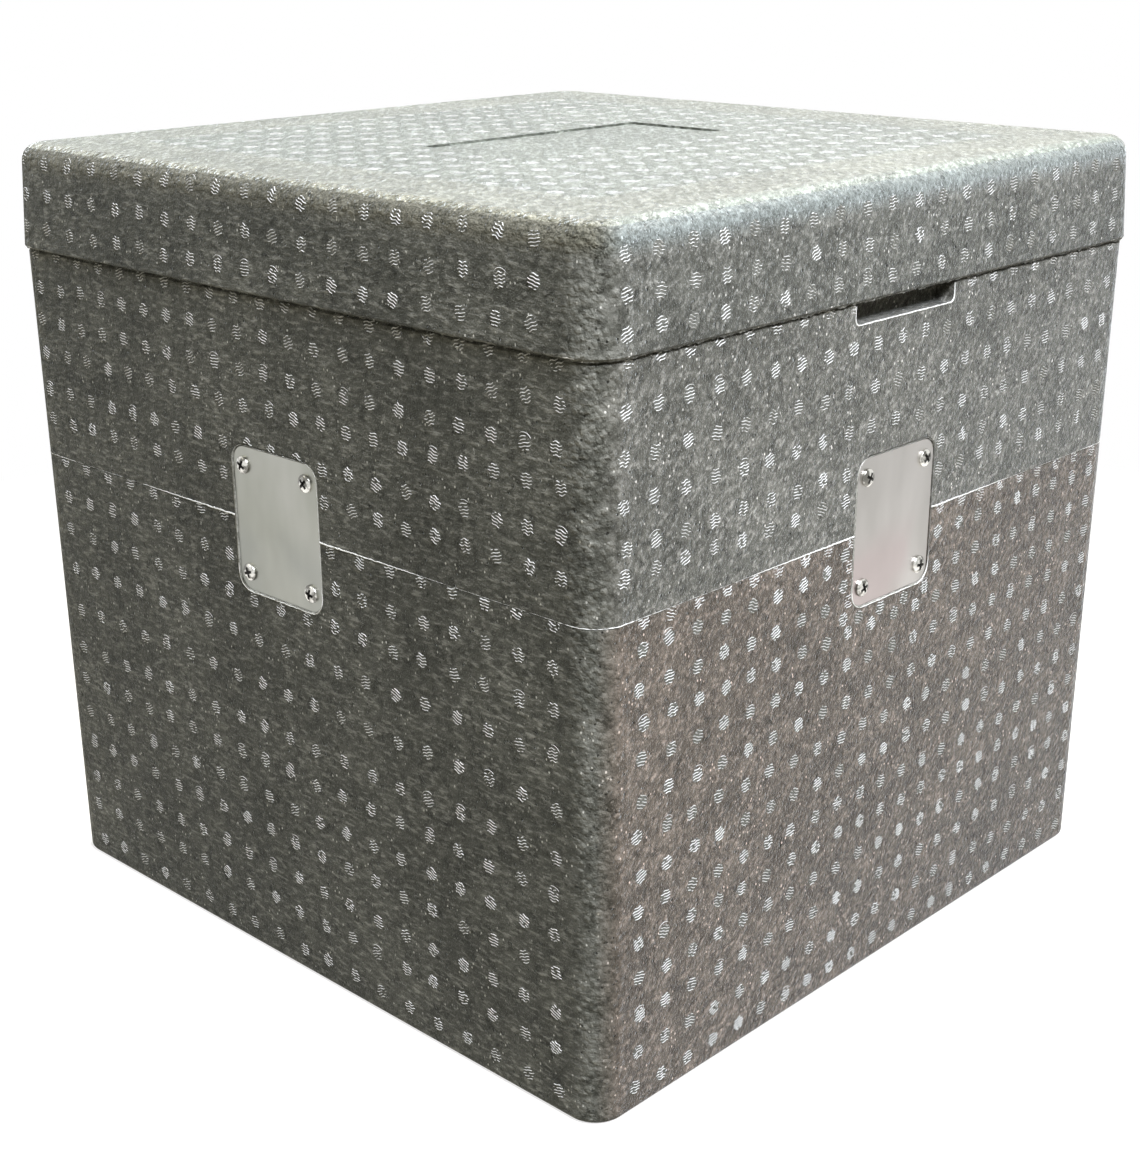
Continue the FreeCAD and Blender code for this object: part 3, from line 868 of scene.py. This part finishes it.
def corner_bead(name, body, half, radius, z, thin, thick, reach, gap):
    """A pale thread of flash round each corner at one height, pale partly as a painted highlight, thickest
    on the corner, up to a gap.
    """
    stations = rounded_square(half, radius, BEAD_SPACING)
    joined = [min(abs(place.x), abs(place.y)) > gap for place, _ in stations]
    vertices, rings = [], []
    for (place, out), here, before in zip(stations, joined, joined[-1:] + joined[:-1]):
        nearer = min(abs(place.x), abs(place.y), half - radius)
        swell = math.exp(-((half - radius - nearer) / reach) ** 2)
        width = (thin + (thick - thin) * swell) * random.choice((0.15, 0.5, 0.8, 1.1, 1.5))
        if not here or not before:
            width = BEAD_END
        drift = random.uniform(-0.4, 0.4) * width
        rings.append(range(len(vertices), len(vertices) + BEAD_SEGMENTS) if here else None)
        for corner in range(BEAD_SEGMENTS if here else 0):
            angle = 2 * math.pi * corner / BEAD_SEGMENTS
            flat = place + out * width * math.cos(angle)
            vertices.append((flat.x, flat.y, z + drift + width * math.sin(angle)))
    faces, run = [], []
    first_gap = joined.index(False)
    for ring in rings[first_gap:] + rings[:first_gap + 1]:
        if ring:
            run.append(ring)
        elif run:
            join_rings(run, faces)
            run = []
    add_piece(name, vertices, faces, flash_and_highlight, body, smooth=True)


def lid_hem():
    """The ragged lower edge of the lid, a thin uneven lip of foam all round it."""
    vertices, faces, rings = [], [], []
    drop = 0.0
    for place, out in rounded_square(LID_HALF - LID_BEVEL, LID_CORNER - LID_BEVEL, HEM_SPACING):
        drop = 0.5 * drop + 0.5 * random.uniform(0.0, HEM_DROP) * random.choice((0.2, 0.6, 1.6))
        push = random.uniform(-0.15, 0.15) * MM
        rings.append(range(len(vertices), len(vertices) + 4))
        for offset, z in ((push, RIM + HEM_ROOT), (push, RIM - drop), (push - HEM_THICKNESS, RIM - drop),
                          (push - HEM_THICKNESS, RIM + HEM_ROOT)):
            flat = place + out * offset
            vertices.append((flat.x, flat.y, z))
    join_rings(rings, faces, closed=True)
    add_piece("lid_hem", vertices, faces, foam, "lid")


seam_flash()
notch_flash()
pocket_edges()
lid_hem()
corner_bead("seam_bead", "box", SEAM_HALF, BODY_CORNER, SEAM + 0.3 * MM,
            thin=0.05 * MM, thick=0.19 * MM, reach=14 * MM, gap=33 * MM)
corner_bead("lid_bead", "lid", LID_HALF - 0.3 * MM, LID_CORNER, RIM + LID_BEVEL,
            thin=0.02 * MM, thick=0.26 * MM, reach=22 * MM, gap=90 * MM)


# Screws: domed heads with a tapered cross drive, on a threaded shank

# Half the length and width of a drive's blade at its low end and at its high end, and how deep it goes
BLADE_LOW, BLADE_HIGH = (1.4 * MM, 0.36 * MM), (3.3 * MM, 0.86 * MM)
DRIVE_DEPTH = 1.3 * MM
DOME_STEPS, HEAD_SEGMENTS, SHANK_SEGMENTS = 8, 40, 14
# How far each drive is turned, and the most that it is off that, in degrees
SCREW_TURNS = (20, 62, 78, 40)
TURN_SLACK = 6


def bar_mesh(low, high, low_z, high_z, material):
    """A closed block that tapers from a low rectangle to a high one, given by their half sizes."""
    corners = ((-1, -1), (1, -1), (1, 1), (-1, 1))
    vertices = [(sx * low[0], sy * low[1], low_z) for sx, sy in corners]
    vertices += [(sx * high[0], sy * high[1], high_z) for sx, sy in corners]
    faces = [(3, 2, 1, 0), (4, 5, 6, 7)]
    faces += [(i, (i + 1) % 4, 4 + (i + 1) % 4, 4 + i) for i in range(4)]
    return mesh_of("cutter", vertices, faces, material)


def turned_mesh(profile, segments, swell=None):
    """A closed solid turned about z from (radius, z) points, the first and last on the axis."""
    vertices = [(0, 0, profile[0][1])]
    for radius, z in profile[1:-1]:
        for segment in range(segments):
            angle = 2 * math.pi * segment / segments
            reach = radius + (swell(angle, z) if swell else 0)
            vertices.append((reach * math.cos(angle), reach * math.sin(angle), z))
    vertices.append((0, 0, profile[-1][1]))
    rings = len(profile) - 2
    last = len(vertices) - 1
    faces = []
    for segment in range(segments):
        other = (segment + 1) % segments
        faces.append((0, 1 + segment, 1 + other))
        for ring in range(rings - 1):
            low, high = 1 + ring * segments, 1 + (ring + 1) * segments
            faces.append((low + other, low + segment, high + segment, high + other))
        top = 1 + (rings - 1) * segments
        faces.append((last, top + other, top + segment))
    return mesh_of("turned", vertices, faces, screw_steel)


def head_mesh():
    """A pan head standing on z = 0, with a cross drive cut into its crown."""
    radius, height, edge = HEAD_DIAMETER / 2, HEAD_HEIGHT, HEAD_EDGE
    profile = [(0, height)]
    for step in range(1, DOME_STEPS + 1):
        angle = math.radians(90 * step / DOME_STEPS)
        profile.append((radius * math.sin(angle) ** 0.8, edge + (height - edge) * math.cos(angle)))
    profile += [(radius, 0.1 * MM), (radius - 0.1 * MM, 0), (0, 0)]
    head = placed("head", turned_mesh(profile, HEAD_SEGMENTS))
    head.data.materials.append(recess_painted_shade)
    blades = []
    for turn in (0, 90):
        blade = placed("blade", bar_mesh(BLADE_LOW, BLADE_HIGH, height - DRIVE_DEPTH, height + 0.4 * MM,
                                         recess_painted_shade))
        blade.rotation_euler = (0, 0, math.radians(turn))
        cut = head.modifiers.new("cut", "BOOLEAN")
        cut.operation = "DIFFERENCE"
        cut.solver = "EXACT"
        cut.material_mode = "TRANSFER"
        cut.object = blade
        blades.append(blade)
    bpy.context.view_layer.update()
    evaluated = head.evaluated_get(bpy.context.evaluated_depsgraph_get())
    mesh = bpy.data.meshes.new_from_object(evaluated)
    for holder in [head] + blades:
        bpy.data.objects.remove(holder)
    return mesh


def shank_mesh():
    """A threaded shank that hangs from z = 0 to its point."""
    root = SHANK_DIAMETER / 2 - THREAD_DEPTH
    steps = round((SCREW_LENGTH - SHANK_TIP) / (THREAD_PITCH / 4))
    profile = [(0, 0), (root, -0.01 * MM)]
    profile += [(root, -(SCREW_LENGTH - SHANK_TIP) * i / steps) for i in range(1, steps + 1)]
    profile += [(0.55 * root, -(SCREW_LENGTH - 0.4 * SHANK_TIP)), (0, -SCREW_LENGTH)]

    def swell(angle, z):
        if z > -THREAD_PITCH or z < -(SCREW_LENGTH - SHANK_TIP):
            return 0
        phase = (z / THREAD_PITCH - angle / (2 * math.pi)) % 1
        return THREAD_DEPTH * max(0, 1 - abs(phase - 0.5) * 3.2)

    return turned_mesh(profile, SHANK_SEGMENTS, swell)


def screw_sets():
    """The four screws on each plate, in place of the plain ones."""
    parts = (head_mesh(), shank_mesh())
    for side in SIDES:
        face = side_face("lower_tub", side)
        vertices, faces, dark = [], [], []
        places = [(a, b) for a in (-SCREW_ACROSS / 2, SCREW_ACROSS / 2)
                  for b in (-SCREW_UP / 2, SCREW_UP / 2)]
        for (a, b), turn_deg in zip(places, SCREW_TURNS):
            seat = face.at(a, SEAM + b) - face.outward * SEAT_DEPTH
            turn = math.radians(turn_deg + random.uniform(-TURN_SLACK, TURN_SLACK))
            first = face.across * math.cos(turn) + face.along.normalized() * math.sin(turn)
            axes = Matrix((first, face.outward.cross(first), face.outward)).transposed()
            for part in parts:
                base = len(vertices)
                vertices.extend(seat + axes @ vertex.co for vertex in part.vertices)
                for polygon in part.polygons:
                    faces.append(tuple(base + index for index in polygon.vertices))
                    dark.append(polygon.material_index)
        piece = add_piece(side + "_cross_screws", vertices, faces, screw_steel, "box")
        piece.data.materials.append(recess_painted_shade)
        for polygon, index in zip(piece.data.polygons, dark):
            polygon.material_index = index
            polygon.use_smooth = index == 0
        piece.data.set_sharp_from_angle(angle=math.radians(35))
        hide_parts(side + "_screws")


screw_sets()

# Camera at the photograph's place, aimed so that the box fills the 1140 by 1170 frame
IMAGE_WIDTH, IMAGE_HEIGHT = 1140, 1170
CAMERA_AZIMUTH = math.radians(43.778)
CAMERA_ELEVATION = math.radians(19.439)
CAMERA_ROLL = math.radians(-0.269)
CAMERA_TARGET = Vector((-6.28, 0, 148.98)) * MM
CAMERA_DISTANCE = 1032.9 * MM
FOCAL_PIXELS = 1903.5
SENSOR = 36.0

# The floor: its own colour, the duller one that it lights the box with, the part of white added where the
# camera sees it, how far its shadow reaches, and half its width
FLOOR_COLOR = (0.36, 0.34, 0.32, 1)
BOUNCE_COLOR = (0.25, 0.225, 0.175, 1)
FLOOR_LIFT = 0.72
SHADOW_END = 0.9
SHADOW_FADE = 0.35
FLOOR_HALF = 6.0

# The even light from all round
WORLD_COLOR = (1.0, 0.975, 0.82, 1)
WORLD_STRENGTH = 0.22

# Each round lamp: its name, place, width in metres, power in watts and colour
LAMPS = (
    ("back_top", (-0.6, 1.45, 2.2), 0.9, 115, (1.0, 0.99, 0.96)),
    ("right_key", (1.1, -0.4, 1.55), 0.8, 64, (0.88, 0.91, 1.0)),
    ("front_fill", (-1.2, -1.9, 1.5), 1.0, 6, (1.0, 0.97, 0.84)),
)
LAMP_AIM = Vector((0, 0, 0.2))


def add_camera():
    back = Vector((math.sin(CAMERA_AZIMUTH) * math.cos(CAMERA_ELEVATION),
                   -math.cos(CAMERA_AZIMUTH) * math.cos(CAMERA_ELEVATION),
                   math.sin(CAMERA_ELEVATION)))
    level_right = Vector((math.cos(CAMERA_AZIMUTH), math.sin(CAMERA_AZIMUTH), 0))
    level_up = back.cross(level_right)
    right = level_right * math.cos(CAMERA_ROLL) + level_up * math.sin(CAMERA_ROLL)
    up = level_up * math.cos(CAMERA_ROLL) - level_right * math.sin(CAMERA_ROLL)
    data = bpy.data.cameras.new("camera")
    data.sensor_width = SENSOR
    data.lens = SENSOR * FOCAL_PIXELS / max(IMAGE_WIDTH, IMAGE_HEIGHT)
    data.clip_start = 0.01
    data.clip_end = 50
    camera = placed("camera", data)
    turn = Matrix((right, up, back)).transposed().to_4x4()
    camera.matrix_world = Matrix.Translation(CAMERA_TARGET + back * CAMERA_DISTANCE) @ turn
    bpy.context.scene.camera = camera


def show_or_light(tree, light, seen, output):
    """Shows one shader to the camera, in reflections and through glass, and lights surfaces by the other."""
    rays = tree.nodes.new("ShaderNodeLightPath")
    direct = rays.outputs["Is Camera Ray"]
    for kind in ("Is Glossy Ray", "Is Transmission Ray"):
        either = tree.nodes.new("ShaderNodeMath")
        either.operation = "MAXIMUM"
        tree.links.new(direct, either.inputs[0])
        tree.links.new(rays.outputs[kind], either.inputs[1])
        direct = either.outputs[0]
    pick = tree.nodes.new("ShaderNodeMixShader")
    for socket, source in zip(pick.inputs, (direct, light, seen)):
        tree.links.new(source, socket)
    tree.links.new(pick.outputs[0], output.inputs["Surface"])


def add_floor():
    """A pale floor that keeps the object's shadow and runs out to plain white away from it."""
    g = Graph("pale_floor")
    g.finish(FLOOR_COLOR, 0.8)
    corners = [(x * FLOOR_HALF, y * FLOOR_HALF, 0) for x, y in ((-1, -1), (1, -1), (1, 1), (-1, 1))]
    floor = placed("floor", mesh_of("floor", corners, [(0, 1, 2, 3)], g.material))
    white = g.add("ShaderNodeEmission")
    lifted = g.add("ShaderNodeEmission")
    lifted.inputs["Strength"].default_value = FLOOR_LIFT
    shadowed = g.add("ShaderNodeAddShader")
    g.feed(shadowed.inputs[0], g.shader.outputs[0])
    g.feed(shadowed.inputs[1], lifted.outputs[0])
    length = g.add("ShaderNodeVectorMath", operation="LENGTH")
    g.feed(length.inputs[0], g.place)
    away = g.ramp(g.math("DIVIDE", length.outputs["Value"], SHADOW_END), (SHADOW_FADE, 0.0), (1.0, 1.0))
    seen = g.add("ShaderNodeMixShader")
    for socket, source in zip(seen.inputs, (away, shadowed.outputs[0], white.outputs[0])):
        g.feed(socket, source)
    bounce = g.add("ShaderNodeBsdfDiffuse")
    bounce.inputs["Color"].default_value = BOUNCE_COLOR
    show_or_light(g.tree, bounce.outputs[0], seen.outputs[0], g.output)


def add_lamps():
    """Soft studio lamps, all aimed at the middle of the box."""
    for name, place, size, power, color in LAMPS:
        data = bpy.data.lights.new(name, "AREA")
        data.shape = "DISK"
        data.size = size
        data.energy = power
        data.color = color
        lamp = placed(name, data)
        lamp.location = place
        lamp.rotation_mode = "QUATERNION"
        lamp.rotation_quaternion = (LAMP_AIM - Vector(place)).to_track_quat("-Z", "Y")


def add_world():
    """White for the camera and for reflections, and a softer even light on the surfaces."""
    world = bpy.data.worlds.new("studio")
    bpy.context.scene.world = world
    world.use_nodes = True
    tree = world.node_tree
    tree.nodes.clear()
    light = tree.nodes.new("ShaderNodeBackground")
    light.inputs["Color"].default_value = WORLD_COLOR
    light.inputs["Strength"].default_value = WORLD_STRENGTH
    seen = tree.nodes.new("ShaderNodeBackground")
    seen.inputs["Color"].default_value = (1, 1, 1, 1)
    seen.inputs["Strength"].default_value = 1.0
    show_or_light(tree, light.outputs[0], seen.outputs[0], tree.nodes.new("ShaderNodeOutputWorld"))


add_camera()
add_floor()
add_world()
add_lamps()

bpy.context.scene.view_settings.view_transform = "Standard"
